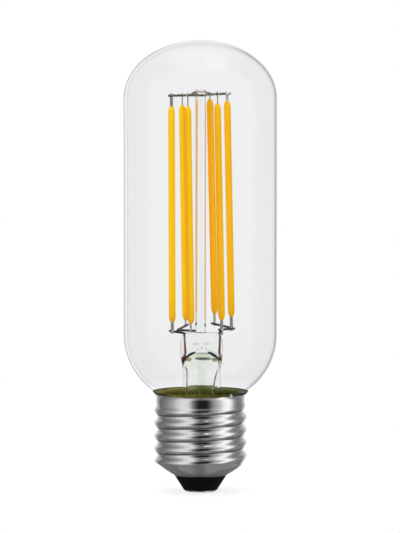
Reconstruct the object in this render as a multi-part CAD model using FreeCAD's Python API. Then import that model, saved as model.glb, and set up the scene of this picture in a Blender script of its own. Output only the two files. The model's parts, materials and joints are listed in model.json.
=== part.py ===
import FreeCAD, Part
import math
import os

# A clear tubular filament lamp with a 27 mm screw cap, standing cap down.
# Millimetres, +Z along the lamp's axis, origin in the middle of the centre contact's flat bottom.
# Angles are in degrees round +Z from +X. +X is the viewer's right and -Y faces the viewer.

Vector = FreeCAD.Vector
up = Vector(0, 0, 1)

# Glass envelope
overall_length = 127.8
tube_radius = 21.7
glass_wall = 0.8
dome_height = 16.4
crown_flat_radius = 0.3
shoulder_height = 20.1
shoulder_join_lift = 0.1
neck_radius = 11.0
neck_bottom_z = 16.5
neck_join_radius = 12.4

# Screw cap, a rolled sheet shell
cap_height = 27.8
cap_sheet = 0.3
cap_foot_z = 4.6
cap_foot_radius = 7.4
collar_radius = 12.6
lip_radius = 13.05
lip_height = 0.9
collar_height = 2.6
thread_radius = 12.65
thread_depth = 0.9
thread_pitch = 25.4 / 7
thread_crest_z = 10.3
thread_low_z = 7.0
thread_fade = 1.6
shoulder_top_z = 8.6
shoulder_roundness = 1.3
net_around = 24
net_per_pitch = 8

# Insulator and centre contact
insulator_foot_radius = 4.75
insulator_hole_radius = 0.9
insulator_floor_z = 5.0
insulator_flange_z = 6.0
seat_ring_inner = 6.0
seat_ring_outer = 7.2
contact_radius = 4.6
contact_thickness = 0.4
eyelet_radius = 0.85
eyelet_bore = 0.5
eyelet_top_z = 2.0
eyelet_mouth = 1.1
solder_top_z = 1.2
fit_gap = 0.08

# Basing cement between the neck and the cap
cement_bottom_z = 19.5
cement_gap = 0.03
cement_climb = 0.6
cement_reach = 0.5

# Glass stem, sealed a little off the axis
stem_x = 0.3
stem_tube_radius = 5.4
stem_tube_bore = 4.6
stem_top_z = 45.05
press_half_width = 6.1
press_half_depth = 2.25
flare_rim_radius = 10.6
flare_rim_z = 17.0
exhaust_radius = 1.27
exhaust_wall = 0.5
exhaust_into_press = 6.05
exhaust_tip_z = 12.0
column_radius = 1.6
column_past_wire = 1.45
column_top_round = 0.5

# Filament strips
strip_count = 6
strip_turn = 7.5
strip_length = 61.0
strip_radius = 0.97
strip_end_radius = 0.5
strip_taper = 1.8
cage_top_radius = 8.0
cage_top_x = -0.4
cage_bottom_radius = 8.3
cage_bottom_x = 0.5
cage_above_press = 34.25
cage_rise = 0.09
strip_lifts = [0.0, 0.6, -0.3, 0.0, -0.2, -0.1]
strip_foot_shifts = [0.0, 0.35, 0.35, -0.25, 0.0, 0.4]
strip_head_shifts = [0.0, 0.0, 0.1, 0.15, -0.1, 0.3]

# Tabs and support wires
tab_width = 0.85
tab_thickness = 0.25
tab_root = 1.2
tab_past_wire = 0.35
long_tab_past_wire = 1.3
fold_radius = 0.45
fold_width = 1.1
wire_radius = 0.33
weld_bite = 0.08
wire_overhang = 0.9
long_overhang = 1.7
weld_radius = 0.46
top_wire_above_strips = 2.45
top_wire_rise_left = 0.016
top_wire_rise_right = 0.055
eye_half_length = 3.0
eye_back_lift = 1.0
cross_bar_lift = 0.42
cross_bar_drop = 0.75
frame_above_press = 1.0
wire_bend = 0.7

# Lead wires, from the frames down through the press to the board
lead_left_x = -4.4
lead_right_x = 5.4
lead_lean = 0.27
dumet_below_press = 5.9
dumet_length = 3.0
dumet_splay = 0.6
dumet_radius = 0.36
dumet_bead_radius = 0.6
outer_lead_radius = 0.22
outer_lead_spread = 4.6
outer_lead_foot_x = 6.0
outer_lead_kink_right = 2.1
outer_lead_drop_left = 9.2
outer_lead_drop_right = 8.0
live_lead_radius = 0.2
neutral_lead_radius = 0.09
neutral_below_lip = 0.3
neutral_past_lip = 1.6

# Driver board in the cap
board_z = 8.2
board_radius = 10.4
board_thickness = 1.0
capacitor_radius = 3.15
capacitor_height = 7.0
capacitor_y = 5.6
capacitor_groove = 0.35
rectifier_size = (4.8, 4.0, 1.6)
rectifier_place = (-5.2, -3.0)
chip_size = (5.0, 4.0, 1.5)
chip_place = (4.4, -3.4)
resistor_radius = 1.2
resistor_length = 6.4
resistor_place = (0.0, -8.0)
pin_size = 0.4
side_solder_angle = -50.5
side_solder_radius = 0.5

# Sizes worked out from the ones above
shoulder_share = math.sqrt(1 - (neck_join_radius / tube_radius) ** 2)
shoulder_z = cap_height + shoulder_join_lift + shoulder_height * shoulder_share
thread_half = thread_depth / 2
thread_high_z = cap_height - collar_height
board_top_z = board_z + board_thickness
collar_inner = collar_radius - cap_sheet
lower_frame_z = stem_top_z + frame_above_press
exhaust_top_z = stem_top_z - exhaust_into_press
dumet_top_z = stem_top_z - dumet_below_press
dumet_bottom_z = dumet_top_z - dumet_length
cage_middle_z = stem_top_z + cage_above_press
top_wire_z = cage_middle_z + strip_length / 2 + top_wire_above_strips
column_top_z = top_wire_z + column_past_wire
beside_neck = neck_radius + 0.5


def polar(radius, angle, z):
    turn = math.radians(angle)
    return Vector(radius * math.cos(turn), radius * math.sin(turn), z)


def line(start, end):
    return Part.LineSegment(start, end).toShape()


def turned(edges_or_points):
    """A solid of revolution round Z from a closed outline in the XZ plane."""
    if isinstance(edges_or_points[0], tuple):
        corners = [Vector(r, 0, z) for r, z in edges_or_points]
        outline = Part.makePolygon(corners + corners[:1])
    else:
        outline = Part.Wire(edges_or_points)
    return Part.Face(outline).revolve(Vector(0, 0, 0), up, 360)


def bent_wire(points, radius, bend=wire_bend):
    """A round wire along straight runs joined by tangent bends."""
    edges = []
    start = points[0]
    for before, corner, after in zip(points, points[1:], points[2:]):
        to_before = (before - corner).normalize()
        to_after = (after - corner).normalize()
        half_angle = to_before.getAngle(to_after) / 2
        reach = bend / math.tan(half_angle)
        inward = (to_before + to_after).normalize()
        middle = corner + inward * (bend / math.sin(half_angle) - bend)
        leave = corner + to_after * reach
        edges.append(line(start, corner + to_before * reach))
        edges.append(Part.Arc(corner + to_before * reach, middle, leave).toShape())
        start = leave
    edges.append(line(start, points[-1]))
    ring = Part.Wire([Part.makeCircle(radius, points[0], points[1] - points[0])])
    return Part.Wire(edges).makePipeShell([ring], True, False)


def place_at(shape, foot, direction):
    shape.Placement = FreeCAD.Placement(foot, FreeCAD.Rotation(up, direction))
    return shape


# Glass

def ellipse_arc(half_width, half_height, middle_z, first, last):
    """Part of an upright ellipse centred on Z, between two angles from its outer end."""
    side = Vector(half_width, 0, middle_z)
    top = Vector(0, 0, middle_z + half_height)
    middle = Vector(0, 0, middle_z)
    if half_width >= half_height:
        return Part.ArcOfEllipse(Part.Ellipse(side, top, middle), first, last).toShape()
    quarter = math.pi / 2
    return Part.ArcOfEllipse(Part.Ellipse(top, side, middle), quarter - last, quarter - first).toShape()


def shoulder_point(radius):
    """The point on the outside of the envelope's shoulder at a distance from the axis."""
    drop = shoulder_height * math.sqrt(1 - (radius / tube_radius) ** 2)
    return Vector(radius, 0, shoulder_z - drop)


def envelope_body(inset):
    """The space inside the envelope's surface, set in by a wall."""
    a = tube_radius - inset
    b = shoulder_height - inset
    neck = neck_radius - inset
    join_angle = math.acos((neck_join_radius - inset) / a)
    join = Vector(a * math.cos(join_angle), 0, shoulder_z - b * math.sin(join_angle))
    outward = Vector(math.cos(join_angle) / a, 0, -math.sin(join_angle) / b).normalize()
    fillet = (join.x - neck) / (1 - outward.x)
    centre = join + outward * fillet
    neck_top = Vector(neck, 0, centre.z)
    middle = centre - ((outward + Vector(1, 0, 0)).normalize()) * fillet
    tube_top_z = overall_length - dome_height
    crown_angle = math.acos(crown_flat_radius / a)
    crown_edge = Vector(crown_flat_radius, 0, tube_top_z + (dome_height - inset) * math.sin(crown_angle))
    crown_middle = Vector(0, 0, crown_edge.z)
    shoulder_arc = ellipse_arc(a, b, shoulder_z, -join_angle, 0)
    dome_arc = ellipse_arc(a, dome_height - inset, tube_top_z, 0, crown_angle)
    foot_z = neck_bottom_z - 2 * inset
    outline = [
        line(Vector(0, 0, foot_z), Vector(neck, 0, foot_z)),
        line(Vector(neck, 0, foot_z), neck_top),
        Part.Arc(neck_top, middle, join).toShape(),
        shoulder_arc,
        line(Vector(a, 0, shoulder_z), Vector(a, 0, tube_top_z)),
        dome_arc,
        line(crown_edge, crown_middle),
        line(crown_middle, Vector(0, 0, foot_z)),
    ]
    return turned(outline)


def oval_section(z, half_width, half_depth, power, centre_x):
    """A closed curve between an ellipse and a rounded bar."""
    points = []
    for step in range(24):
        turn = math.radians(step * 15)
        cosine = math.cos(turn)
        sine = math.sin(turn)
        x = half_width * math.copysign(abs(cosine) ** (2 / power), cosine)
        y = half_depth * math.copysign(abs(sine) ** (2 / power), sine)
        points.append(Vector(centre_x + x, y, z))
    curve = Part.BSplineCurve()
    curve.interpolate(points, True)
    return Part.Wire([curve.toShape()])


def flare_sections(top_radius, rim_radius, rim_z):
    """Round sections of the flare, from its rim up to where the tube runs straight."""
    sections = []
    for rise, share in ((0, 1.0), (0.6, 0.72), (1.6, 0.46), (3.5, 0.22), (6.0, 0.06), (9.0, 0.0)):
        radius = top_radius + (rim_radius - top_radius) * share
        sections.append(oval_section(rim_z + rise, radius, radius, 2, stem_x))
    return sections


def stem_body():
    """Flare, tube and flattened press drawn from one tube of glass."""
    r = stem_tube_radius
    outer = flare_sections(r, flare_rim_radius, flare_rim_z)
    for below_top, half_width, half_depth, power in (
            (13.0, r, r, 2.0), (10.2, r, r, 2.0),
            (8.0, r + 0.5 * (press_half_width - r), 0.5 * (r + press_half_depth), 2.2),
            (5.9, press_half_width, press_half_depth + 0.3, 2.7),
            (4.0, press_half_width, press_half_depth, 2.8),
            (2.0, 0.97 * press_half_width, 0.97 * press_half_depth, 2.7),
            (0.6, 0.84 * press_half_width, 0.84 * press_half_depth, 2.5),
            (0.0, 0.66 * press_half_width, 0.62 * press_half_depth, 2.3)):
        outer.append(oval_section(stem_top_z - below_top, half_width, half_depth, power, stem_x))
    bore = stem_tube_bore
    inner = flare_sections(bore, flare_rim_radius - 0.9, flare_rim_z - 0.4)
    for below_top, half_width, half_depth in (
            (13.0, bore, bore), (10.6, bore, bore), (8.6, bore, 0.64 * bore),
            (7.2, 0.94 * bore, 0.42 * bore), (6.1, 0.72 * bore, 0.32 * bore), (5.3, 0.4 * bore, 0.26 * bore)):
        inner.append(oval_section(stem_top_z - below_top, half_width, half_depth, 2, stem_x))
    return Part.makeLoft(outer, True).cut(Part.makeLoft(inner, True))


def exhaust_tube():
    """Thin tube down from the press, melted shut at its lower tip."""
    r = exhaust_radius
    bore = r - exhaust_wall
    tip = exhaust_tip_z
    outline = [
        (0, tip), (0.45 * r, tip + 0.2), (r, tip + 2.2), (r, exhaust_top_z),
        (bore, exhaust_top_z), (bore, tip + 3.0), (0, tip + 1.4),
    ]
    tube = turned(outline)
    tube.translate(Vector(stem_x, 0, 0))
    return tube


def centre_column():
    height = column_top_z - stem_top_z
    column = Part.makeCylinder(column_radius, height, Vector(0, 0, stem_top_z))
    top_edges = [edge for edge in column.Edges if edge.BoundBox.ZMin > column_top_z - 0.01]
    return column.makeFillet(column_top_round, top_edges)


# Screw cap

def ease(value):
    value = min(max(value, 0.0), 1.0)
    return value * value * (3 - 2 * value)


def shell_base_radius(z):
    """The shell's outside with no thread: shoulder, thread barrel, collar and flared lip."""
    if z < shoulder_top_z:
        share = 1 - (1 - (z - cap_foot_z) / (shoulder_top_z - cap_foot_z)) ** shoulder_roundness
        return cap_foot_radius + (thread_radius - cap_foot_radius) * share
    blend = ease((z - thread_high_z + thread_fade) / thread_fade)
    radius = thread_radius + (collar_radius - thread_radius) * blend
    above_lip_start = max(0.0, z - (cap_height - lip_height)) / lip_height
    return radius + (lip_radius - collar_radius) * above_lip_start ** 1.5


def shell_surface(inset):
    """The rolled thread as one closed spline sheet, right-handed, running out at both ends."""
    levels = round((cap_height - cap_foot_z) * net_per_pitch / thread_pitch)
    step = (cap_height - cap_foot_z) / levels
    ring_share = (2 + math.cos(2 * math.pi / net_around)) / 3
    crest_share = (2 + math.cos(2 * math.pi * step / thread_pitch)) / 3
    columns = []
    for column in range(net_around):
        angle = 360 * column / net_around
        poles = []
        for level in range(levels + 1):
            z = cap_foot_z + level * step
            fade = ease((z - thread_low_z) / thread_fade) * ease((thread_high_z - z) / thread_fade)
            phase = 2 * math.pi * (z - thread_crest_z) / thread_pitch - math.radians(angle)
            wave = fade * thread_half * math.cos(phase) / crest_share
            poles.append(polar((shell_base_radius(z) - inset + wave) / ring_share, angle, z))
        columns.append(poles)
    spans_up = levels - 2
    surface = Part.BSplineSurface()
    surface.buildFromPolesMultsKnots(
        columns, [1] * (net_around + 1), [4] + [1] * (spans_up - 1) + [4],
        list(range(net_around + 1)), list(range(spans_up + 1)), True, False, 3, 3)
    return surface.toShape()


def ring_edge(face, z):
    return [edge for edge in face.Edges if abs(edge.BoundBox.ZMax - z) < 0.01
            and abs(edge.BoundBox.ZMin - z) < 0.01][0]


def cap_shell():
    outside = shell_surface(0)
    inside = shell_surface(cap_sheet)
    faces = [outside, inside]
    for z in (cap_foot_z, cap_height):
        rings = [Part.Wire([ring_edge(outside, z)]), Part.Wire([ring_edge(inside, z)])]
        faces.append(Part.makeFace(rings, "Part::FaceMakerBullseye"))
    shell = Part.Shell(faces)
    shell.sewShape()
    solid = Part.Solid(shell)
    if solid.Volume < 0:
        solid.reverse()
    return solid


def cap_insulator():
    """Black cone under the shell, with a flange inside it and a ring for the board."""
    inner_foot = cap_foot_radius - cap_sheet - fit_gap
    inner_flange = shell_base_radius(insulator_flange_z) - cap_sheet - fit_gap
    return turned([
        (insulator_hole_radius, contact_thickness), (insulator_foot_radius, contact_thickness),
        (cap_foot_radius, cap_foot_z), (inner_foot, cap_foot_z),
        (inner_flange, insulator_flange_z), (seat_ring_outer, insulator_flange_z + 0.3),
        (seat_ring_outer, board_z), (seat_ring_inner, board_z),
        (seat_ring_inner - 0.4, insulator_floor_z), (insulator_hole_radius, insulator_floor_z),
    ])


def centre_contact():
    """Domed-edge plate with an eyelet up into the insulator."""
    flat_end = Vector(contact_radius - 0.6, 0, 0)
    edge_middle = Vector(contact_radius - 0.22, 0, 0.1)
    edge_top = Vector(contact_radius, 0, contact_thickness)
    outline = [
        line(Vector(eyelet_mouth, 0, 0), flat_end),
        Part.Arc(flat_end, edge_middle, edge_top).toShape(),
    ]
    corners = [(contact_radius, contact_thickness), (eyelet_radius, contact_thickness),
               (eyelet_radius, eyelet_top_z), (eyelet_bore, eyelet_top_z), (eyelet_bore, 0.6), (eyelet_mouth, 0)]
    for (r1, z1), (r2, z2) in zip(corners, corners[1:]):
        outline.append(line(Vector(r1, 0, z1), Vector(r2, 0, z2)))
    return turned(outline)


def centre_solder():
    return turned([
        (0, 0), (eyelet_mouth, 0), (eyelet_bore, 0.6), (eyelet_bore, solder_top_z), (0, solder_top_z),
    ])


def basing_cement():
    """Cement collar, squeezed out a little over the lip and up against the glass."""
    barrel = thread_radius - thread_half - cap_sheet - cement_gap
    collar = collar_inner - cement_gap
    lip_start = cap_height - lip_height
    lip_fill = collar + 0.3 * (lip_radius - collar_radius)
    step_z = thread_high_z + 0.3
    top_z = cap_height + cement_climb
    return turned([
        (neck_radius - 0.5, cement_bottom_z), (barrel, cement_bottom_z), (barrel, step_z),
        (collar, step_z + 0.4), (collar, lip_start), (lip_fill, lip_start + 0.55),
        (lip_fill, cap_height), (lip_radius - 0.1, cap_height),
        (lip_radius + cement_reach, top_z), (neck_radius - 0.5, top_z),
    ])


# Filaments and frames

def strip_ends(index):
    """The two ends of a filament strip's coating, lower end first."""
    angle = strip_turn + index * 360 / strip_count
    low = polar(cage_bottom_radius, angle, 0) + Vector(cage_bottom_x + strip_foot_shifts[index], 0, 0)
    high = polar(cage_top_radius, angle, 0) + Vector(cage_top_x + strip_head_shifts[index], 0, 0)
    lean = (high - low).Length
    half = math.sqrt(strip_length ** 2 - lean ** 2) / 2
    middle_z = cage_middle_z + cage_rise * (low.x + high.x) / 2 + strip_lifts[index]
    low.z = middle_z - half
    high.z = middle_z + half
    return low, high


def filament_strip(index):
    low, high = strip_ends(index)
    depth = strip_radius - strip_end_radius
    arc_radius = (strip_taper ** 2 + depth ** 2) / (2 * depth)
    shoulder = strip_radius - arc_radius + math.sqrt(arc_radius ** 2 - strip_taper ** 2 / 4)
    length = strip_length
    outline = [
        line(Vector(0, 0, 0), Vector(strip_end_radius, 0, 0)),
        Part.Arc(Vector(strip_end_radius, 0, 0), Vector(shoulder, 0, strip_taper / 2),
                 Vector(strip_radius, 0, strip_taper)).toShape(),
        line(Vector(strip_radius, 0, strip_taper), Vector(strip_radius, 0, length - strip_taper)),
        Part.Arc(Vector(strip_radius, 0, length - strip_taper), Vector(shoulder, 0, length - strip_taper / 2),
                 Vector(strip_end_radius, 0, length)).toShape(),
        line(Vector(strip_end_radius, 0, length), Vector(0, 0, length)),
        line(Vector(0, 0, length), Vector(0, 0, 0)),
    ]
    return place_at(turned(outline), low, high - low)


def flat_tab(foot, tip, across):
    """A strip of sheet from foot to tip, round at the tip, its width along across."""
    along = (tip - foot).normalize()
    across = (across - along * across.dot(along)).normalize()
    normal = along.cross(across)
    side = across * (tab_width / 2)
    back = normal * (-tab_thickness / 2)
    corner = tip - along * (tab_width / 2)
    outline = Part.Wire([
        line(foot - side + back, foot + side + back),
        line(foot + side + back, corner + side + back),
        Part.Arc(corner + side + back, tip + back, corner - side + back).toShape(),
        line(corner - side + back, foot - side + back),
    ])
    return Part.Face(outline).extrude(normal * tab_thickness)


def beside(start, end, sideways):
    """The level direction square to a wire's run, on the side that is asked for."""
    run = end - start
    square = Vector(-run.y, run.x, 0).normalize()
    return square * math.copysign(1, square.dot(sideways))


def top_wire_height(x):
    rise = top_wire_rise_left if x < 0 else top_wire_rise_right
    return top_wire_z + rise * x


def bottom_points():
    return [strip_ends(index)[0] for index in range(strip_count)]


def top_points():
    return [strip_ends(index)[1] for index in range(strip_count)]


right, right_back, left_back, left, left_front, right_front = range(strip_count)
wire_offset = wire_radius + tab_thickness / 2 - weld_bite


def level(point, z):
    return Vector(point.x, point.y, z)


def top_frame():
    """Two long wires that clasp the column, and two bars across under the back and front strips."""
    tops = top_points()
    leftmost = tops[left]
    rightmost = tops[right]
    run = (level(rightmost, 0) - level(leftmost, 0)).normalize()
    forward = beside(leftmost, rightmost, Vector(0, -1, 0))
    clasp = column_radius + wire_radius - weld_bite
    shapes = {}
    for name, side, lift in (
            ("top_wire_front", forward, 0.0), ("top_wire_back", forward * -1, eye_back_lift)):
        points = []
        for base, past in ((leftmost, -wire_overhang), (rightmost, wire_overhang)):
            end = level(base, top_wire_height(base.x)) + run * past + side * wire_offset
            points.append(end)
        near_left = Vector(-eye_half_length, 0, top_wire_height(-eye_half_length)) + side * wire_offset
        near_right = Vector(eye_half_length, 0, top_wire_height(eye_half_length)) + side * wire_offset
        bow_left = Vector(-0.4 * clasp, 0, top_wire_z + lift) + side * clasp
        bow_right = Vector(0.4 * clasp, 0, top_wire_z + lift) + side * clasp
        route = [points[0], near_left, bow_left, bow_right, near_right, points[1]]
        shapes[name] = bent_wire(route, wire_radius)
    for name, back, front, inward in (
            ("top_cross_bar_left", tops[left_back], tops[left_front], Vector(1, 0, 0)),
            ("top_cross_bar_right", tops[right_back], tops[right_front], Vector(-1, 0, 0))):
        offset = beside(back, front, inward) * wire_offset
        past = (level(front, 0) - level(back, 0)).normalize() * wire_overhang
        middle_x = (back.x + front.x) / 2
        z = top_wire_height(middle_x) + cross_bar_lift
        back_end = level(back, z - cross_bar_drop) + offset - past
        bar = bent_wire([back_end, level(front, z) + offset + past], wire_radius)
        shapes[name] = bar.cut([shapes["top_wire_front"], shapes["top_wire_back"]])
    return shapes


def lead_foot(x):
    """Where a lead wire, leaning towards the axis, ends on its seal wire."""
    return Vector(x - math.copysign(lead_lean, x), 0, dumet_top_z)


def seal_foot(x):
    """Where a seal wire, splayed away from the axis, ends on its outer lead."""
    return lead_foot(x) + Vector(math.copysign(dumet_splay, x), 0, -dumet_length)


def bottom_wire_routes():
    """Named routes of the two lead wires' upper ends and the two V wires."""
    feet = bottom_points()
    z = lower_frame_z
    bite = 2 * wire_radius - weld_bite
    lead_end = level(feet[left], z - 0.6) + Vector(0, wire_offset, 0)
    left_corner = Vector(lead_left_x, 0, z - 1.2)
    lead_run = (lead_end - left_corner).normalize()
    left_apex = left_corner + lead_run * 2.2 + Vector(0, 0, bite)
    left_v = []
    for foot, rise, overhang in (
            (feet[left_front], 0.3, long_overhang), (feet[left_back], 0.55, wire_overhang)):
        offset = beside(left_apex, foot, Vector(1, 0, 0)) * wire_offset
        past = (level(foot, 0) - level(left_apex, 0)).normalize() * overhang
        left_v.append(level(foot, z + rise) + offset + past)
    right_apex = level(feet[right], z) + Vector(tab_width / 2 + wire_radius - weld_bite + 0.25, 0, 0)
    right_v = []
    for foot, rise in ((feet[right_front], 0.45), (feet[right_back], 0.85)):
        offset = beside(right_apex, foot, Vector(-1, 0, 0)) * wire_offset
        past = (level(foot, 0) - level(right_apex, 0)).normalize() * wire_overhang
        right_v.append(level(foot, z + rise) + offset + past)
    lead_tip = level(right_v[0], right_v[0].z - bite) + Vector(0.35, 0.3, 0)
    return {
        "lead_wire_left": [lead_foot(lead_left_x), left_corner, lead_end + lead_run * wire_overhang],
        "lead_wire_right": [lead_foot(lead_right_x), Vector(lead_right_x, 0, z - 0.85), lead_tip],
        "bottom_v_wire_left": [left_v[0], left_apex, left_v[1]],
        "bottom_v_wire_right": [right_v[0], right_apex, right_v[1]],
    }


def bottom_frame():
    shapes = {name: bent_wire(route, wire_radius) for name, route in bottom_wire_routes().items()}
    for side in ("left", "right"):
        v_wire = "bottom_v_wire_" + side
        shapes[v_wire] = shapes[v_wire].cut(shapes["lead_wire_" + side])
    return shapes


def strip_tabs(frames):
    """The welded tab at each end of each strip, notched where it is pressed on its wires."""
    routes = bottom_wire_routes()
    tops = top_points()
    feet = bottom_points()
    long_run = level(tops[right], 0) - level(tops[left], 0)
    left_bar = level(tops[left_front], 0) - level(tops[left_back], 0)
    right_bar = level(tops[right_front], 0) - level(tops[right_back], 0)
    top_runs = {right: long_run, left: long_run, left_back: left_bar, left_front: left_bar,
                right_back: right_bar, right_front: right_bar}
    lead_run = level(routes["lead_wire_left"][2], 0) - level(routes["lead_wire_left"][1], 0)
    left_v = routes["bottom_v_wire_left"]
    right_v = routes["bottom_v_wire_right"]
    bottom_runs = {
        right: Vector(1, 0, 0), left: lead_run,
        left_front: left_v[0] - left_v[1], left_back: left_v[2] - left_v[1],
        right_front: Vector(1, 0, 0), right_back: right_v[2] - right_v[1]}
    bottom_heights = {
        right: right_v[1].z, left: lower_frame_z - 0.6,
        left_front: left_v[0].z, left_back: left_v[2].z, right_front: right_v[0].z, right_back: right_v[2].z}
    forward = beside(tops[left], tops[right], Vector(0, -1, 0))
    wires = list(frames.values())
    tabs = {}
    for index in range(strip_count):
        low, high = feet[index], tops[index]
        along = (high - low).normalize()
        number = str(index + 1)
        wire_z = top_wire_height(high.x)
        if index not in (left, right):
            wire_z += cross_bar_lift
        if index in (left_back, right_back):
            wire_z -= cross_bar_drop
        top_tip = level(high, wire_z + wire_radius + tab_past_wire)
        top_tab = flat_tab(high - along * tab_root, top_tip, top_runs[index])
        past_wire = long_tab_past_wire if index == right_front else tab_past_wire
        low_tip = level(low, bottom_heights[index] - wire_radius - past_wire)
        low_tab = flat_tab(low + along * tab_root, low_tip, bottom_runs[index])
        top_weld = Part.makeSphere(weld_radius, level(high, wire_z))
        if index == right:
            fold_run = (long_run * (1 / long_run.Length)) * fold_width
            fold_start = level(high, wire_z) + forward * wire_offset - fold_run / 2
            top_weld = top_weld.fuse(Part.makeCylinder(fold_radius, fold_width, fold_start, fold_run))
        low_weld = Part.makeSphere(weld_radius, level(low, bottom_heights[index]))
        tabs["filament_top_tab_" + number] = top_tab.fuse(top_weld).cut(wires)
        tabs["filament_bottom_tab_" + number] = low_tab.fuse(low_weld).cut(wires)
    return tabs


# Leads through the press

def dumet_seal(x):
    """Copper-clad stretch that seals in the glass, with the weld bead near its lower end."""
    foot = seal_foot(x)
    run = lead_foot(x) - foot
    bead = dumet_bead_radius
    seal = turned([(0, 0), (0.5 * bead, 0), (0.8 * bead, 0.8), (bead, 1.4), (bead, 1.7), (dumet_radius, 2.4),
                   (dumet_radius, run.Length), (0, run.Length)])
    return place_at(seal, foot, run)


def outer_leads():
    foot_left = Vector(-outer_lead_foot_x, 0, board_z)
    foot_right = Vector(outer_lead_foot_x, 0, board_z)
    bend_z = flare_rim_z + 1.0
    left_route = [seal_foot(lead_left_x), Vector(lead_left_x + 0.6, 0, dumet_bottom_z - 1.6),
                  Vector(lead_left_x + 0.5, 0, dumet_bottom_z - outer_lead_drop_left),
                  Vector(-outer_lead_spread, 0, bend_z), foot_left]
    right_route = [seal_foot(lead_right_x), Vector(lead_right_x - 1.0, 0, dumet_bottom_z - 3.0),
                   Vector(lead_right_x - outer_lead_kink_right, 0, dumet_bottom_z - outer_lead_drop_right),
                   Vector(outer_lead_spread, 0, bend_z), foot_right]
    return {"outer_lead_left": bent_wire(left_route, outer_lead_radius, 1.0),
            "outer_lead_right": bent_wire(right_route, outer_lead_radius, 1.0)}


def supply_leads():
    """Live wire down to the centre contact, neutral wire up beside the neck and over the lip."""
    live_foot_z = 0.3
    live = Part.makeCylinder(live_lead_radius, board_top_z + 0.5 - live_foot_z, Vector(0, 0, live_foot_z))
    a = side_solder_angle
    on_board = board_radius - 1.0
    lip_edge = Vector(lip_radius - cap_sheet, 0, cap_height)
    glass_over_lip = shoulder_point(lip_edge.x)
    over_lip = (lip_edge + glass_over_lip) * 0.5
    along_glass = (shoulder_point(lip_edge.x + neutral_past_lip) - glass_over_lip).normalize()
    under_lip = over_lip - along_glass * neutral_below_lip
    tip = over_lip + along_glass * neutral_past_lip
    route = [polar(on_board, a, board_z), polar(on_board, a, board_top_z + 1.6),
             polar(beside_neck, a, board_top_z + 4.4), polar(beside_neck, a, cap_height - 2.0),
             polar(collar_inner - 0.25, a, cap_height - lip_height),
             polar(under_lip.x, a, under_lip.z), polar(tip.x, a, tip.z)]
    return {"live_lead": live, "neutral_lead": bent_wire(route, neutral_lead_radius, 0.3)}


def side_solder():
    """Drop of solder that joins the neutral wire to the lip's edge."""
    centre = polar(lip_radius + 0.35, side_solder_angle, cap_height + 0.2)
    return Part.makeSphere(side_solder_radius, centre)


# Driver board

def boxed(size, place, z):
    width, depth, height = size
    x, y = place
    return Part.makeBox(width, depth, height, Vector(x - width / 2, y - depth / 2, z))


def gull_wing_part(size, place, pins_per_side):
    """A small moulded part with square pins along its two long sides."""
    body = boxed((size[0], size[1], size[2] - 0.15), place, board_top_z + 0.15)
    top_z = board_top_z + size[2]
    body = body.makeChamfer(0.2, [edge for edge in body.Edges if edge.BoundBox.ZMin > top_z - 0.01])
    pitch = size[0] / pins_per_side
    pins = []
    for number in range(pins_per_side):
        x = place[0] + (number + 0.5) * pitch - size[0] / 2
        for side in (-1, 1):
            y = place[1] + side * (size[1] / 2 + 0.35)
            pins.append(boxed((pin_size, 0.9, pin_size / 2), (x, y), board_top_z))
            pins.append(boxed((pin_size, pin_size / 2, 0.7), (x, y - side * 0.25), board_top_z))
    return body.multiFuse(pins).removeSplitter()


def smoothing_capacitor():
    r = capacitor_radius
    h = capacitor_height
    g = capacitor_groove
    can = turned([(0, 0), (r - 0.2, 0), (r, 0.2), (r, 0.9), (r - g, 1.2), (r, 1.5), (r, h - 0.3),
                  (r - 0.3, h), (0, h)])
    can.translate(Vector(0, capacitor_y, board_top_z))
    return can


def fusible_resistor():
    """Dog-bone body lying on the board with its two wires bent down."""
    r = resistor_radius
    half = resistor_length / 2
    x, y = resistor_place
    body = turned([(0, -half), (r - 0.2, -half), (r, 0.2 - half), (r, 1.2 - half), (0.82 * r, 1.7 - half),
                   (0.82 * r, half - 1.7), (r, half - 1.2), (r, half - 0.2), (r - 0.2, half), (0, half)])
    centre = Vector(x, y, board_top_z + r)
    place_at(body, centre, Vector(1, 0, 0))
    wires = []
    for side in (-1, 1):
        start = centre + Vector(side * (half - 0.2), 0, 0)
        corner = centre + Vector(side * (half + 0.9), 0, 0)
        end = level(corner, board_top_z)
        wires.append(bent_wire([start, corner, end], 0.25, 0.4))
    return body.multiFuse(wires).removeSplitter()


def driver_board(through):
    """Round board with holes where wires pass."""
    board = Part.makeCylinder(board_radius, board_thickness, Vector(0, 0, board_z))
    return board.cut(through)


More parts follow.
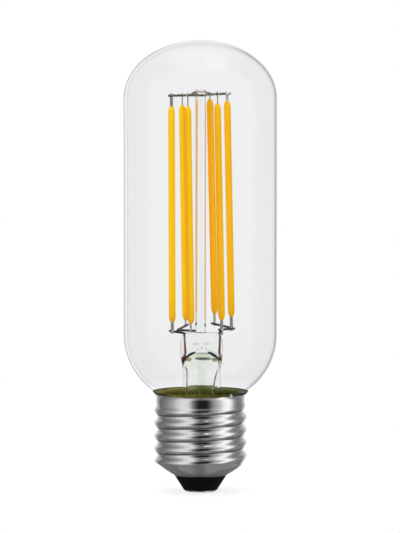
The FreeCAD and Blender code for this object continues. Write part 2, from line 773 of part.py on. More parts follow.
def build_nodes():
    """Every piece of the lamp by name."""
    nodes = {}
    glass_outside = envelope_body(0)
    nodes["glass_envelope"] = glass_outside.cut(envelope_body(glass_wall))

    frames = top_frame()
    frames.update(bottom_frame())
    nodes.update(frames)
    tabs = strip_tabs(frames)
    nodes.update(tabs)
    for index in range(strip_count):
        number = str(index + 1)
        ends = [tabs["filament_top_tab_" + number], tabs["filament_bottom_tab_" + number]]
        nodes["led_filament_" + number] = filament_strip(index).cut(ends)

    outer = outer_leads()
    for side, x in (("left", lead_left_x), ("right", lead_right_x)):
        seal = dumet_seal(x)
        nodes["dumet_seal_" + side] = seal.cut([frames["lead_wire_" + side], outer["outer_lead_" + side]])
    nodes.update(outer)
    supply = supply_leads()
    nodes.update(supply)

    nodes["exhaust_tube"] = exhaust_tube()
    in_the_glass = [nodes[name] for name in (
        "lead_wire_left", "lead_wire_right", "dumet_seal_left", "dumet_seal_right",
        "outer_lead_left", "outer_lead_right", "exhaust_tube", "glass_envelope")]
    nodes["stem_tube"] = stem_body().cut(in_the_glass)
    nodes["centre_column"] = centre_column().cut([frames["top_wire_front"], frames["top_wire_back"]])

    nodes["cap_shell"] = cap_shell()
    nodes["cap_insulator"] = cap_insulator()
    nodes["centre_contact"] = centre_contact()
    nodes["centre_solder"] = centre_solder().cut(supply["live_lead"])
    nodes["basing_cement"] = basing_cement().cut([glass_outside, supply["neutral_lead"]])
    under_solder = [supply["neutral_lead"], nodes["basing_cement"], nodes["cap_shell"], glass_outside]
    nodes["side_solder"] = side_solder().cut(under_solder)

    nodes["driver_board"] = driver_board([supply["live_lead"], supply["neutral_lead"]] + list(outer.values()))
    nodes["bridge_rectifier"] = gull_wing_part(rectifier_size, rectifier_place, 2)
    nodes["driver_chip"] = gull_wing_part(chip_size, chip_place, 4)
    nodes["smoothing_capacitor"] = smoothing_capacitor()
    nodes["fusible_resistor"] = fusible_resistor()
    return nodes


os.makedirs("parts", exist_ok=True)
for node_name, node_shape in build_nodes().items():
    piece = node_shape.Solids[0]
    piece.exportStep(os.path.join("parts", node_name + ".step"))
    solids = len(node_shape.Solids)
    print(node_name, "solids", solids, "valid", piece.isValid(), "volume", round(piece.Volume, 3))
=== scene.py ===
import json
import math

import bpy
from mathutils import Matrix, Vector


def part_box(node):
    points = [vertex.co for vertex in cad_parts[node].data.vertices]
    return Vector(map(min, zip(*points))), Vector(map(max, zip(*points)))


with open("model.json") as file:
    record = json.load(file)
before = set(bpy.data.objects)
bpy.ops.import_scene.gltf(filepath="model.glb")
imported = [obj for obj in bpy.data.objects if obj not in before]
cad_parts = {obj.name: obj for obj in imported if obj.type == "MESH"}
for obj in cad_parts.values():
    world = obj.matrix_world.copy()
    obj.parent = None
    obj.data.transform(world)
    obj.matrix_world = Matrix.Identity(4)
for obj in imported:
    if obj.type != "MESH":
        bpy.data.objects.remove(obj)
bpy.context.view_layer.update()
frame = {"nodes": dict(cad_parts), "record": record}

# Places and sizes on the bulb that the finishes follow, in metres
mm = 0.001
glass_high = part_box("glass_envelope")[1]
tube_radius = glass_high.x
dome_height = 16.4 * mm
dome_start_z = glass_high.z - dome_height
# The height of the dome's painted highlight
dome_highlight_z = glass_high.z - 5.4 * mm
shoulder_height = 20.1 * mm
shoulder_start_z = 44.4 * mm
press_middle_x = 0.3 * mm
press_top_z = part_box("stem_tube")[1].z
cement_top_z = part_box("basing_cement")[1].z
thread_pitch = 3.629 * mm
thread_crest_z = 10.3 * mm

# How far below each crest of the thread its line of painted shade runs, in degrees of a turn
thread_shade_below_crest = 123.0

# The glass's veil: its density in the middle, what its ripple and its low end add, and what its edge adds
# from one value of edge_on to another
veil_middle = 0.036
veil_ripple = 0.004
veil_low_end = 0.008
veil_edge = ((0.003, 0.15, 0.65), (0.014, 0.68, 0.74), (0.026, 0.74, 0.8))

# The grey line inside the glass's edge, at the far left and the far right: the value of edge_on where it
# lies, its reach and its density. The right's wider, denser line is painted shade.
line_left = (0.89, 0.075, 0.22)
line_right = (0.79, 0.085, 0.275)

# Where a painted highlight thins the veil in the dome: a middle and half sizes, across and up the bulb
dome_highlight_mark = ((0.0, dome_highlight_z), (13.0 * mm, 4.0 * mm))

# Marks on the press: each a place beside its middle and a drop from its top, then half sizes. The bore's
# end, its roof line and the fold are painted shade, dark where the bent glass shows shade.
bore_haze_mark = ((0.1 * mm, 6.7 * mm), (3.4 * mm, 0.85 * mm))
bore_end_shade_mark = ((0.4 * mm, 7.1 * mm), (2.6 * mm, 0.3 * mm))
bore_line_shade_mark = ((0.2 * mm, 5.75 * mm), (2.4 * mm, 0.16 * mm))
amber_mark = ((3.8 * mm, 7.7 * mm), (1.0 * mm, 0.5 * mm))
fold_shade_mark = ((3.7 * mm, 5.0 * mm), (2.2 * mm, 0.5 * mm))
copper_mark = ((5.9 * mm, 5.6 * mm), (0.9 * mm, 3.8 * mm))
pinch_marks = (
    ((-1.5 * mm, 3.2 * mm), (1.2 * mm, 0.22 * mm)),
    ((1.3 * mm, 3.2 * mm), (1.1 * mm, 0.22 * mm)),
    ((0.1 * mm, 4.35 * mm), (0.4 * mm, 0.35 * mm)),
    ((1.3 * mm, 4.65 * mm), (0.35 * mm, 0.3 * mm)),
    ((-1.1 * mm, 4.9 * mm), (0.35 * mm, 0.3 * mm)))

# The smear at the cement's front: a middle and half sizes, across and back
front_smear_mark = ((-2.0 * mm, -9.5 * mm), (10.5 * mm, 4.0 * mm))

# The deeper orange cores of the strips: place beside the bulb's axis at core_z, and lean up the bulb
strip_cores = ((-3.4 * mm, -0.018), (3.0 * mm, -0.012), (5.4 * mm, -0.027))
core_z = 51.0 * mm
core_reach = 0.7 * mm

# The camera, placed from the photograph's perspective: metres, degrees from looking down, and millimetres
camera_place = (-0.00014, -1.650, 0.1984)
camera_pitch = 85.335
camera_lens = 395.8
camera_sensor = 36.0
camera_sees_from = 0.01
camera_sees_to = 100.0

# Soft lights, aimed at the bulb's middle: name, place, width, height and power in watts
light_aim = (0.0, 0.0, 0.06)
soft_lights = (
    ("left_softbox", (-1.0, -1.1, 0.75), 0.5, 0.8, 6.0),
    ("right_strip", (1.1, -0.7, 0.35), 0.18, 0.9, 2.0),
    ("top_softbox", (0.0, 0.3, 1.3), 0.8, 0.8, 5.0))

# The room's even light, where 1 is white
room_light = 0.88

# The floor: its tone and its own glow, its size, and where its shadow fades into white
floor_tone = 0.25
floor_glow = 0.78
floor_reach = 9.0
shadow_reach = 12.0 * mm
white_floor_from = 40.0 * mm

# Cards that only reflections show: a drum round the bulb, a ground, a ceiling and a low card behind
drum_radius = 1.2
drum_low = -1.75
drum_high = 2.4
drum_open_from = 165.0
drum_facets = 66
behind_card_high = -0.25
behind_card_facets = 6

# The drum's tones by azimuth in degrees from the camera's side, up to twice white
brightest_tone = 2.0
drum_tones = (
    (-165.0, 1.0), (-143.0, 0.55), (-128.0, 0.22), (-113.0, 0.26), (-98.0, 0.36), (-85.0, 0.5),
    (-74.0, 0.68), (-64.0, 0.95), (-56.0, 1.1), (-43.0, 1.2), (-34.0, 1.1), (-27.0, 0.8),
    (-20.0, 0.32), (-12.0, 0.1), (-4.0, 0.02), (17.0, 0.02), (25.0, 0.14), (33.0, 0.42),
    (41.0, 0.6), (52.0, 0.9), (64.0, 1.4), (76.0, 1.65), (88.0, 1.2), (98.0, 0.5),
    (112.0, 0.3), (128.0, 0.33), (142.0, 0.6), (165.0, 1.1))

# What the drum's front gains far above and below the level of the cap, and its tone low down behind
drum_level_z = 0.02
steep_front_tone = 0.22
behind_low_tone = 0.22

# The level cards' tones in the middle, at the left and at the right, and where they change between
ground_tones = (0.21, 0.34, 0.34)
ceiling_tones = (0.25, 0.42, 1.6)
level_change = (0.05, 0.35)

# Colours, as linear red, green and blue: first the glass, its stains, its painted shade and its painted
# reflection
white = (1.0, 1.0, 1.0)
black = (0.0, 0.0, 0.0)
veil_blue = (0.02, 0.08, 0.12)
clear_glass = (0.97, 0.98, 0.96)
clear_rod = (0.97, 0.98, 0.98)
# Painted reflection of the strips on the rod's edges
painted_strip_reflection = (0.72, 0.58, 0.38)
pinch_grey = (0.35, 0.38, 0.33)
haze_green = (0.87, 0.91, 0.80)
# Painted shade at the bore's end and along its roof
painted_bore_shade = (0.01, 0.03, 0.008)
painted_roof_shade = (0.12, 0.14, 0.11)
seal_amber = (0.45, 0.36, 0.15)
# Painted shade along the press's fold, in front and behind
painted_fold_shade = (0.0004, 0.0012, 0.0004)
painted_back_fold_shade = (0.3, 0.36, 0.3)
copper_pink = (0.95, 0.62, 0.52)

# The strips' coat, from its left to its right, in its clouds, along its cores and at its feet
coat_yellow = (1.0, 0.60, 0.0)
coat_orange = (0.96, 0.50, 0.0)
cloud_yellow = (1.0, 0.70, 0.01)
core_orange = (0.91, 0.38, 0.0)
foot_orange = (0.86, 0.36, 0.0)

# Wires, tabs and seals
wire_dark = (0.04, 0.036, 0.032)
wire_light = (0.25, 0.23, 0.2)
top_wire_pale = (0.5, 0.45, 0.38)
heated_brown = (0.11, 0.03, 0.02)
lead_dark = (0.16, 0.16, 0.16)
lead_light = (0.62, 0.62, 0.6)
tab_dark = (0.5, 0.48, 0.46)
tab_light = (0.88, 0.86, 0.82)
# Painted highlight on the rightmost top tab
painted_tab_glint = (0.86, 0.8, 0.82)
seal_copper = (0.22, 0.035, 0.015)

# The cap, its contact and its solder
nickel_dark = (0.57, 0.56, 0.56)
nickel_light = (0.64, 0.63, 0.63)
# Painted shade at the cap's foot
painted_foot_shade = (0.2, 0.2, 0.2)
# Painted shade along the thread's turns
painted_thread_shade = (0.16, 0.16, 0.16)
contact_tin = (0.85, 0.85, 0.84)
solder_tin = (0.9, 0.89, 0.86)
insulator_tones = ((0.003, 0.003, 0.003), (0.005, 0.005, 0.005))

# The cement, from its left to its right, its stains and its painted light
cement_yellow = (0.165, 0.15, 0.0)
cement_olive = (0.06, 0.085, 0.0)
edge_olive = (0.2, 0.225, 0.07)
streak_olive = (0.24, 0.25, 0.02)
deep_brown = (0.05, 0.043, 0.0)
# Painted light on the low ring at the back
painted_light_yellow = (0.62, 0.56, 0.08)
smear_olive = (0.25, 0.235, 0.03)
lip_brown = (0.035, 0.022, 0.0)

# The driver's pieces, each from one tone to another
board_tones = ((0.02, 0.12, 0.04), (0.03, 0.16, 0.05))
package_tones = ((0.012, 0.012, 0.012), (0.02, 0.02, 0.02))
sleeve_tones = ((0.01, 0.015, 0.04), (0.015, 0.02, 0.05))
enamel_tones = ((0.05, 0.14, 0.12), (0.07, 0.18, 0.15))


def grey(tone):
    return (tone, tone, tone)


class Value:
    """One socket's value, so that shader maths is written as plain expressions."""

    def __init__(self, finish, socket):
        self.finish = finish
        self.socket = socket

    def maths(self, operation, *terms):
        """A Math node on these terms, in their order."""
        return self.finish.node("ShaderNodeMath", {"operation": operation}, dict(enumerate(terms)))

    def __add__(self, other):
        return self.maths("ADD", self, other)

    def __radd__(self, other):
        return self.maths("ADD", other, self)

    def __sub__(self, other):
        return self.maths("SUBTRACT", self, other)

    def __rsub__(self, other):
        return self.maths("SUBTRACT", other, self)

    def __mul__(self, other):
        return self.maths("MULTIPLY", self, other)

    def __rmul__(self, other):
        return self.maths("MULTIPLY", other, self)

    def __truediv__(self, other):
        return self.maths("DIVIDE", self, other)

    def __pow__(self, other):
        return self.maths("POWER", self, other)

    def __neg__(self):
        return self.maths("MULTIPLY", self, -1.0)

    def __abs__(self):
        return self.maths("ABSOLUTE", self)

    def cosine(self):
        return self.maths("COSINE", self)

    def turn_from(self, other):
        """The angle in radians whose tangent is this value over the other."""
        return self.maths("ARCTAN2", self, other)

    def at_least(self, lowest):
        return self.maths("MAXIMUM", self, lowest)

    def at_most(self, highest):
        return self.maths("MINIMUM", self, highest)

    def rise(self, start, end):
        """0 below start and 1 above end, with a smooth rise between them."""
        settings = {"interpolation_type": "SMOOTHSTEP"}
        return self.finish.node("ShaderNodeMapRange", settings, {0: self, 1: start, 2: end})

    def fall(self, start, end):
        """1 below start and 0 above end, with a smooth fall between them."""
        return 1.0 - self.rise(start, end)

    def cover(self, strength, most):
        """How much a stain covers: its mask times its strength, but no more than most."""
        return (self * strength).at_most(most)


def set_stops(ramp, stops):
    """Greys that change evenly from stop to stop, each stop a place and a tone."""
    ramp.interpolation = "LINEAR"
    # A new ramp has two stops already
    for number, (place, tone) in enumerate(stops):
        stop = ramp.elements[number] if number < 2 else ramp.elements.new(place)
        stop.position = place
        stop.color = (*grey(tone), 1.0)


class Finish:
    """The nodes of one material, or of the world, that make its finish."""

    def __init__(self, owner):
        self.owner = owner
        owner.use_nodes = True
        self.tree = owner.node_tree
        self.tree.nodes.clear()

    def node(self, kind, settings=None, inputs=None, output=0):
        """A node of any kind: its settings first, then the values or links of its sockets."""
        made = self.tree.nodes.new(kind)
        for name, setting in (settings or {}).items():
            if name == "stops":
                set_stops(made.color_ramp, setting)
            else:
                setattr(made, name, setting)
        for name, given in (inputs or {}).items():
            socket = made.inputs[name]
            if isinstance(given, Value):
                self.tree.links.new(given.socket, socket)
            else:
                socket.default_value = (*given, 1.0) if socket.type == "RGBA" else given
        if output is not None:
            return Value(self, made.outputs[output])

    def place(self):
        """The point on the bulb, in metres in its own frame."""
        return self.node("ShaderNodeTexCoord", output="Object")

    def axis(self, letter):
        """One coordinate of the point on the bulb: X, Y or Z."""
        return self.node("ShaderNodeSeparateXYZ", inputs={"Vector": self.place()}, output=letter)

    def edge_on(self):
        """0 where the surface faces the eye, and 1 where it is seen edge on."""
        return self.node("ShaderNodeLayerWeight", inputs={"Blend": 0.5}, output="Facing")

    def seen_by(self, *rays):
        """1 for rays of these kinds, named as the Light Path node names them, and 0 for all others."""
        kinds = [self.node("ShaderNodeLightPath", output="Is " + ray + " Ray") for ray in rays]
        return sum(kinds[1:], kinds[0]).at_most(1.0)

    def noise(self, scale, detail=3.0, roughness=0.6, stretch=(1.0, 1.0, 1.0)):
        """Noise on the bulb, drawn out along the axes where stretch is under 1."""
        point = self.node("ShaderNodeVectorMath", {"operation": "MULTIPLY"}, {0: self.place(), 1: stretch})
        inputs = {"Vector": point, "Scale": scale, "Detail": detail, "Roughness": roughness}
        return self.node("ShaderNodeTexNoise", inputs=inputs)

    def shift(self, share, first, second):
        """A colour from first to second as share goes from 0 to 1."""
        # The Mix node takes its two colours at sockets 6 and 7, and gives their mix at output 2
        return self.node("ShaderNodeMix", {"data_type": "RGBA"}, {0: share, 6: first, 7: second}, 2)

    def stained(self, colour, *stains):
        """A colour with stains laid over it in turn, each the share that it covers and its own colour."""
        for share, stain in stains:
            colour = self.shift(share, colour, stain)
        return colour

    def bump(self, height, distance):
        return self.node("ShaderNodeBump", inputs={"Height": height, "Distance": distance})

    def principled(self, colour, **inputs):
        """The main shader, with its colour and its other sockets' names written with underscores."""
        sockets = {name.replace("_", " "): given for name, given in inputs.items()}
        return self.node("ShaderNodeBsdfPrincipled", inputs={"Base Color": colour, **sockets})

    def mixed(self, share, first, second):
        """A shader from first to second as share goes from 0 to 1."""
        return self.node("ShaderNodeMixShader", inputs={0: share, 1: first, 2: second})

    def surface(self, shader, kind="ShaderNodeOutputMaterial"):
        """The owner of these nodes, showing the shader."""
        self.node(kind, inputs={"Surface": shader}, output=None)
        return self.owner

    def material(self, colour, **inputs):
        """The finished material, all of it the main shader."""
        return self.surface(self.principled(colour, **inputs))


def new_finish(name):
    return Finish(bpy.data.materials.new(name))


def hump(distance):
    """1 where a distance is 0, falling to 0 where it is 1."""
    return (1.0 - distance * distance).at_least(0.0)


def spot(first, second, mark):
    """1 at the middle of a mark over two coordinates, falling to 0 at the ellipse of its half sizes."""
    middle, half_size = mark
    across = (first - middle[0]) / half_size[0]
    along = (second - middle[1]) / half_size[1]
    return (1.0 - across * across - along * along).at_least(0.0)


def from_axis(x, y):
    """How far a point is from the bulb's axis."""
    return (x * x + y * y) ** 0.5


def glass_line(x, y, z, edge_on):
    """The density of the grey line inside the glass's edge, on the wall's outer face alone."""
    # Towards the right the line grows heavier as painted shade
    rightward = x.rise(-tube_radius, tube_radius)
    place, reach, density = (
        left + (right - left) * rightward for left, right in zip(line_left, line_right))
    across = (x * x + y * y) / tube_radius ** 2
    dome = (z - dome_start_z).at_least(0.0) / dome_height
    shoulder = (shoulder_start_z - z).at_least(0.0) / shoulder_height
    outer_face = ((across + dome * dome + shoulder * shoulder) ** 0.5).rise(0.972, 0.992)
    off_the_top = across.rise(0.05, 0.5)
    return hump((edge_on - place) / reach) * density * outer_face * off_the_top


def glass_veil(x, z, edge_on, ripple):
    """The density of the glass's veil, which clears before the cement and thins in a painted highlight on
    the dome.
    """
    low_end = z.fall(30.0 * mm, 55.0 * mm)
    above_cement = z.rise(28.0 * mm, 31.0 * mm)
    # Painted highlight: the veil is halved in a spot on the dome
    painted_dome_highlight = spot(x, z, dome_highlight_mark)
    veil = veil_middle + veil_ripple * ripple + veil_low_end * low_end
    for density, start, end in veil_edge:
        veil = veil + density * edge_on.rise(start, end)
    return veil * above_cement * (1.0 - 0.5 * painted_dome_highlight)


def blown_glass():
    """Thin clear glass: a faint veil with a painted highlight on the dome, and a grey line just inside the
    edge, made heavier on the right with painted shade.
    """
    finish = new_finish("blown_glass")
    x, y, z = map(finish.axis, "XYZ")
    edge_on = finish.edge_on()
    ripple = finish.noise(60.0, detail=2.0, roughness=0.4)
    density = glass_veil(x, z, edge_on, ripple) + glass_line(x, y, z, edge_on)
    body = finish.principled(veil_blue, Roughness=0.1, Specular_IOR_Level=0.0, Alpha=density)
    gloss = finish.node("ShaderNodeBsdfGlossy", inputs={"Color": white, "Roughness": 0.03})
    faint_gloss = finish.node("ShaderNodeFresnel", inputs={"IOR": 1.45}) * 0.03
    return finish.surface(finish.mixed(faint_gloss, body, gloss))


def thick_glass(finish, colour, bending=1.33, wave_scale=420.0, wave_stretch=0.25, wave_depth=0.02 * mm):
    """Thick clear glass that bends what is seen through it, with faint waves drawn out along the bulb."""
    wave = finish.noise(wave_scale, detail=2.0, roughness=0.4, stretch=(1.0, 1.0, wave_stretch))
    return finish.material(
        colour, Roughness=0.0, IOR=bending, Transmission_Weight=1.0, Normal=finish.bump(wave, wave_depth))


def exhaust_glass():
    return thick_glass(new_finish("exhaust_glass"), clear_glass)


def column_glass():
    """Solid rod of clear glass, tan along its edges with a painted reflection of the strips round it."""
    finish = new_finish("column_glass")
    # Painted reflection: the strips' tan laid along the rod's edges
    painted_reflection_edge = finish.edge_on().rise(0.18, 0.4) * 0.75
    colour = finish.shift(painted_reflection_edge, clear_rod, painted_strip_reflection)
    return thick_glass(
        finish, colour, bending=1.5, wave_scale=300.0, wave_stretch=0.1, wave_depth=0.006 * mm)


def stem_glass():
    """The stem's glass, with the press's pinch marks, painted dark shade along its folds, and painted green
    shade at the end of its bore and along its roof.
    """
    finish = new_finish("stem_glass")
    x, y, z = map(finish.axis, "XYZ")
    beside = x - press_middle_x
    apart = abs(beside)
    bow = beside * beside
    drop = press_top_z - z
    front = y.fall(-0.4 * mm, 0.4 * mm)
    smear = finish.noise(700.0)

    colour = clear_glass
    for mark in pinch_marks:
        pinch = spot(beside, drop, mark) * smear.rise(0.2, 0.5)
        colour = finish.shift(pinch.cover(1.6, most=0.6), colour, pinch_grey)

    bore_haze = spot(beside, drop, bore_haze_mark)
    # Painted shade: dark green at the bore's end, grey along its roof, black in the front fold and grey in
    # the back fold
    bore_end_shade = spot(beside, drop - 0.35 * mm * smear, bore_end_shade_mark) * front * smear.rise(0.3, 0.5)
    bore_line_shade = spot(beside, drop - bow / (30.0 * mm), bore_line_shade_mark) * front
    amber = spot(apart, drop, amber_mark) * smear.rise(0.3, 0.55)
    fold_shade = spot(apart, drop - bow / (11.0 * mm) - 0.25 * mm * smear, fold_shade_mark)
    front_fold_shade = (fold_shade * smear.rise(0.15, 0.45)).cover(5.0, most=0.995) * front
    back_fold_shade = fold_shade.cover(2.0, most=0.5) * (1.0 - front) * beside.rise(0.0, 3.0 * mm)
    copper_side = spot(apart, drop, copper_mark)
    return thick_glass(finish, finish.stained(
        colour,
        (bore_haze.cover(3.0, most=0.8), haze_green),
        (bore_end_shade.cover(5.0, most=0.97), painted_bore_shade),
        (bore_line_shade.cover(3.0, most=0.7), painted_roof_shade),
        (amber.cover(2.5, most=0.85), seal_amber),
        (front_fold_shade, painted_fold_shade),
        (back_fold_shade, painted_back_fold_shade),
        (copper_side.cover(1.5, most=0.6), copper_pink)))


def phosphor():
    """Yellow silicone coat with a painted glow, more orange at the right, along each core and at each foot.
    """
    finish = new_finish("phosphor_silicone")
    x, z = map(finish.axis, "XZ")
    rightward = x.rise(-7.0 * mm, 4.0 * mm)
    cloud = finish.noise(900.0, roughness=0.5, stretch=(1.0, 1.0, 0.2))
    colour = finish.shift(rightward, coat_yellow, coat_orange)
    colour = finish.shift(cloud.rise(0.4, 0.8) * 0.4, colour, cloud_yellow)
    for core_x, core_lean in strip_cores:
        core = hump((x - core_x - core_lean * (z - core_z)) / core_reach)
        colour = finish.shift(core * 0.85, colour, core_orange)
    foot = z.fall(50.0 * mm, 58.0 * mm) * cloud.rise(0.35, 0.6)
    colour = finish.shift(foot * 0.5, colour, foot_orange)
    grain = finish.noise(6000.0, detail=2.0)
    # The emission is a painted glow that brightens the unlit coat
    return finish.material(
        colour, Roughness=0.55, Specular_IOR_Level=0.12, Emission_Color=colour, Emission_Strength=0.24,
        Normal=finish.bump(grain, 0.01 * mm))


def drawn_wire(name, dark, light, roughness):
    """Drawn wire, stained along its length, paler in the top frame and heated to brown inside the press."""
    finish = new_finish(name)
    z = finish.axis("Z")
    stain = finish.noise(1500.0)
    draw_marks = finish.noise(3000.0, detail=2.0, roughness=0.5, stretch=(1.0, 1.0, 0.15))
    top_frame = z.rise(95.0 * mm, 98.0 * mm) * stain.rise(0.3, 0.6)
    in_press = z.rise(press_top_z - 12.0 * mm, press_top_z - 9.0 * mm)
    in_press = in_press * z.fall(press_top_z - 5.0 * mm, press_top_z - 2.0 * mm)
    colour = finish.stained(
        finish.shift(stain.rise(0.35, 0.7), dark, light),
        (top_frame * 0.75, top_wire_pale),
        (in_press * 0.8, heated_brown))
    return finish.material(
        colour, Metallic=1.0, Roughness=roughness + 0.15 * stain, Normal=finish.bump(draw_marks, 0.01 * mm))


def bright_nickel():
    """Bright plate on rolled sheet, with rolling marks, painted shade along the thread's turns and painted
    shade at the foot.
    """
    finish = new_finish("bright_nickel")
    x, y, z = map(finish.axis, "XYZ")
    rolling_marks = finish.noise(900.0, stretch=(0.12, 0.12, 1.0))
    haze = finish.noise(160.0, roughness=0.5)
    # Painted shade: the cap darkens towards its foot
    foot = z.fall(4.3 * mm, 6.6 * mm)
    in_thread = z.rise(8.5 * mm, 9.5 * mm) * z.fall(24.3 * mm, 25.0 * mm)
    # Painted shade: a dark line along each turn of the thread, below its crest
    turn = (z - thread_crest_z) * (2.0 * math.pi / thread_pitch) - y.turn_from(x)
    thread_shade = (turn + math.radians(thread_shade_below_crest)).cosine().rise(0.82, 0.97) * in_thread
    colour = finish.stained(
        finish.shift(haze.rise(0.3, 0.75), nickel_dark, nickel_light),
        (foot * 0.9, painted_foot_shade),
        (thread_shade * 0.85, painted_thread_shade))
    return finish.material(
        colour, Metallic=1.0, Roughness=0.075 + 0.05 * haze, Normal=finish.bump(rolling_marks, 0.008 * mm))


def plain_metal(name, colour, roughness, grain):
    """Metal with cloudy darker patches."""
    finish = new_finish(name)
    cloud = finish.noise(grain)
    darker = tuple(0.6 * part for part in colour)
    return finish.material(
        finish.shift(cloud.rise(0.35, 0.65), darker, colour), Metallic=1.0,
        Roughness=roughness + 0.12 * cloud, Normal=finish.bump(cloud, 0.03 * mm))


def stamped_tab():
    """Dull sheet steel, its rightmost top tab given a painted highlight where the sheet folds over."""
    finish = new_finish("tab_steel")
    x, z = map(finish.axis, "XZ")
    cloud = finish.noise(1800.0)
    # Painted highlight: the fold of the rightmost top tab turns pale and less metallic
    tab_glint = x.rise(6.0 * mm, 6.6 * mm) * z.rise(98.0 * mm, 100.0 * mm) * cloud.rise(0.25, 0.5)
    colour = finish.shift(cloud.rise(0.35, 0.65), tab_dark, tab_light)
    return finish.material(
        finish.shift(tab_glint, colour, painted_tab_glint), Metallic=1.0 - 0.9 * tab_glint,
        Roughness=0.5 + 0.12 * cloud, Normal=finish.bump(cloud, 0.03 * mm))


def plain_solid(name, tones, roughness, grain, depth=0.01 * mm, shine=0.25):
    """A moulded or coated surface that clouds from one of its two tones to the other."""
    finish = new_finish(name)
    cloud = finish.noise(grain, detail=4.0)
    return finish.material(
        finish.shift(cloud.rise(0.3, 0.7), *tones), Roughness=roughness,
        Specular_IOR_Level=shine, Normal=finish.bump(cloud, depth))


def cement_paste():
    """Olive cement, yellower at the left, smeared lighter at the front, brown along the lip and painted
    lighter low at the back.
    """
    finish = new_finish("olive_cement")
    x, y, z = map(finish.axis, "XYZ")
    smear = finish.noise(300.0, stretch=(1.0, 1.0, 2.5))
    streak = finish.noise(260.0, stretch=(0.5, 2.5, 1.0)).rise(0.5, 0.7)
    grain = finish.noise(1600.0, detail=4.0)
    rightward = x.rise(-10.0 * mm, 10.0 * mm)
    behind = y.rise(-7.0 * mm, 0.0)
    below_top = cement_top_z - z + 0.6 * mm * smear
    top_edge = below_top.fall(0.3 * mm, 1.2 * mm) * behind
    deep = below_top.rise(0.7 * mm, 1.7 * mm) * behind
    # Painted light: a paler ring low on the back wall, where little light reaches
    low_painted_light = below_top.rise(2.1 * mm, 2.8 * mm) * behind * smear.rise(0.25, 0.55)
    front_smear = spot(x, y, front_smear_mark) * smear.rise(0.15, 0.6)
    at_lip = from_axis(x, y).rise(12.45 * mm, 12.85 * mm) * abs(x).rise(7.0 * mm, 10.5 * mm)
    colour = finish.stained(
        finish.shift(rightward, cement_yellow, cement_olive),
        (top_edge * 0.8, edge_olive),
        (streak * 0.5 * (1.0 - deep), streak_olive),
        (deep * 0.8, deep_brown),
        (low_painted_light * 0.85, painted_light_yellow),
        (front_smear.cover(2.5, most=0.9), smear_olive),
        (at_lip * 0.9, lip_brown))
    return finish.material(
        colour, Roughness=0.6, Specular_IOR_Level=0.12, Normal=finish.bump(grain, 0.05 * mm))


def finishes():
    """A finish for each material slot."""
    return {
        "clear_glass": blown_glass(),
        "phosphor_coat": phosphor(),
        "nickel_wire": drawn_wire("nickel_wire", wire_dark, wire_light, roughness=0.28),
        "tab_metal": stamped_tab(),
        "dumet_copper": plain_metal("dumet_copper", seal_copper, roughness=0.4, grain=1200.0),
        "tinned_lead": drawn_wire("tinned_lead", lead_dark, lead_light, roughness=0.3),
        "cap_nickel": bright_nickel(),
        "contact_metal": plain_metal("contact_plate", contact_tin, roughness=0.25, grain=600.0),
        "solder": plain_metal("solder", solder_tin, roughness=0.22, grain=900.0),
        "cap_insulator_black": plain_solid(
            "insulator_black", insulator_tones, roughness=0.6, grain=500.0, shine=0.06),
        "basing_cement": cement_paste(),
        "board_laminate": plain_solid("board_laminate", board_tones, roughness=0.4, grain=2000.0),
        "moulded_black": plain_solid("package_black", package_tones, roughness=0.5, grain=3000.0),
        "capacitor_sleeve": plain_solid(
            "capacitor_sleeve", sleeve_tones, roughness=0.25, grain=400.0, depth=0.005 * mm),
        "resistor_coat": plain_solid("resistor_enamel", enamel_tones, roughness=0.35, grain=900.0),
    }


def dress_nodes():
    """Gives every carried-over node the finish of its slot, or its own where its glass is thick."""
    slot_finishes = finishes()
    thick_glasses = {
        "stem_tube": stem_glass(),
        "exhaust_tube": exhaust_glass(),
        "centre_column": column_glass(),
    }
    slots = {part["node"]: part["material_slot"] for part in frame["record"]["subparts"]}
    for name, node in frame["nodes"].items():
        node.data.materials.clear()
        node.data.materials.append(thick_glasses.get(name) or slot_finishes[slots[name]])


def floor_finish():
    """Pale floor that shows as white away from the bulb and keeps the bulb's shadow beside it."""
    finish = new_finish("studio_floor")
    x, y = map(finish.axis, "XY")
    away = from_axis(x, y).rise(shadow_reach, white_floor_from)
    seen = finish.seen_by("Camera", "Transmission")
    plain = finish.node("ShaderNodeBsdfDiffuse", inputs={"Color": grey(floor_tone)})
    glow = finish.node("ShaderNodeEmission", inputs={"Strength": floor_glow})
    lit = finish.node("ShaderNodeAddShader", inputs={0: plain, 1: glow})
    all_white = finish.node("ShaderNodeEmission", inputs={"Strength": 1.0})
    return finish.surface(finish.mixed(seen, plain, finish.mixed(away, lit, all_white)))


def stage_mesh(name, corners, faces, material):
    mesh = bpy.data.meshes.new(name)
    mesh.from_pydata(corners, [], faces)
    mesh.materials.append(material)
    card = bpy.data.objects.new(name, mesh)
    bpy.context.scene.collection.objects.link(card)
    return card


def level_card(name, reach, z, material):
    """A square level card that reaches equally far to each side of the bulb's axis."""
    corners = [(-reach, -reach, z), (reach, -reach, z), (reach, reach, z), (-reach, reach, z)]
    return stage_mesh(name, corners, [(0, 1, 2, 3)], material)


def upright_card(name, start, end, low, high, facets, material):
    """A curved upright card between two azimuths."""
    corners = []
    for number in range(facets + 1):
        turn = math.radians(start + (end - start) * number / facets)
        corners += [(drum_radius * math.sin(turn), -drum_radius * math.cos(turn), z) for z in (low, high)]
    faces = [(2 * number, 2 * number + 2, 2 * number + 3, 2 * number + 1) for number in range(facets)]
    return stage_mesh(name, corners, faces, material)


def stage_floor():
    floor = level_card("floor", floor_reach, 0.0, floor_finish())
    floor.visible_glossy = False


def only_reflected(card):
    """Hides a card from everything but reflections."""
    card.visible_camera = False
    card.visible_diffuse = False
    card.visible_transmission = False
    card.visible_shadow = False


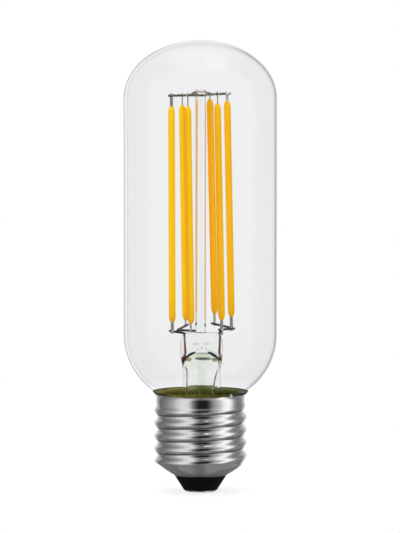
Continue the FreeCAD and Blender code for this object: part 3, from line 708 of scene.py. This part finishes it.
def glowing(finish, tone):
    """A material that is seen only by its own light."""
    return finish.material(black, Specular_IOR_Level=0.0, Emission_Color=tone, Emission_Strength=1.0)


def along_ramp(azimuth):
    """Where an azimuth in degrees, from -180 to 180, lies on a ramp from 0 to 1."""
    return (azimuth + 180.0) / 360.0


def drum_finish():
    """Tones that change smoothly round the drum, darkest where the camera stands."""
    finish = new_finish("drum_tones")
    x, y, z = map(finish.axis, "XYZ")
    azimuth = x.turn_from(-y) * math.degrees(1.0)
    stops = [(along_ramp(angle), tone / brightest_tone) for angle, tone in drum_tones]
    ramp = finish.node("ShaderNodeValToRGB", {"stops": stops}, {"Fac": along_ramp(azimuth)})
    height = (z - drum_level_z) / drum_radius
    side = abs(azimuth)
    steep_front = abs(height).rise(0.45, 1.1) * side.fall(20.0, 40.0)
    low_behind = side.rise(125.0, 150.0) * height.fall(-0.5, -0.2)
    tone = ramp * brightest_tone + steep_front_tone * steep_front
    return glowing(finish, tone + (behind_low_tone - tone) * low_behind)


def level_finish(name, middle_tone, left_tone, right_tone):
    """Tones from side to side of a level card."""
    finish = new_finish(name)
    x = finish.axis("X")
    tone = middle_tone + (right_tone - middle_tone) * x.rise(*level_change)
    return glowing(finish, tone + (left_tone - middle_tone) * (-x).rise(*level_change))


def stage_cards():
    side = drum_open_from
    low_finish = glowing(new_finish("low_card_tone"), grey(behind_low_tone))
    ground_finish = level_finish("ground_tones", *ground_tones)
    ceiling_finish = level_finish("ceiling_tones", *ceiling_tones)
    for card in (
            upright_card("drum", -side, side, drum_low, drum_high, drum_facets, drum_finish()),
            upright_card(
                "card_behind", side, 360.0 - side, drum_low, behind_card_high, behind_card_facets,
                low_finish),
            level_card("ground_card", drum_radius, drum_low, ground_finish),
            level_card("ceiling_card", drum_radius, drum_high, ceiling_finish)):
        only_reflected(card)


def stage_lights():
    for name, place, width, height, power in soft_lights:
        data = bpy.data.lights.new(name, "AREA")
        data.shape = "RECTANGLE"
        data.size = width
        data.size_y = height
        data.energy = power
        light = bpy.data.objects.new(name, data)
        bpy.context.scene.collection.objects.link(light)
        light.location = place
        light.rotation_euler = (Vector(light_aim) - Vector(place)).to_track_quat("-Z", "Y").to_euler()
        light.visible_glossy = False


def stage_world():
    """Even room light that cameras, mirrors and clear glass see as white."""
    world = bpy.data.worlds.new("studio")
    bpy.context.scene.world = world
    finish = Finish(world)
    strength = room_light + (1.0 - room_light) * finish.seen_by("Camera", "Glossy", "Transmission")
    room = finish.node("ShaderNodeBackground", inputs={"Color": white, "Strength": strength})
    finish.surface(room, "ShaderNodeOutputWorld")


def stage_camera():
    data = bpy.data.cameras.new("camera")
    data.sensor_fit = "AUTO"
    data.sensor_width = camera_sensor
    data.lens = camera_lens
    data.clip_start = camera_sees_from
    data.clip_end = camera_sees_to
    camera = bpy.data.objects.new("camera", data)
    bpy.context.scene.collection.objects.link(camera)
    camera.location = camera_place
    camera.rotation_euler = (math.radians(camera_pitch), 0.0, 0.0)
    bpy.context.scene.camera = camera


bpy.context.scene.view_settings.view_transform = "Standard"
stage_world()
stage_camera()
stage_floor()
stage_cards()
stage_lights()
dress_nodes()
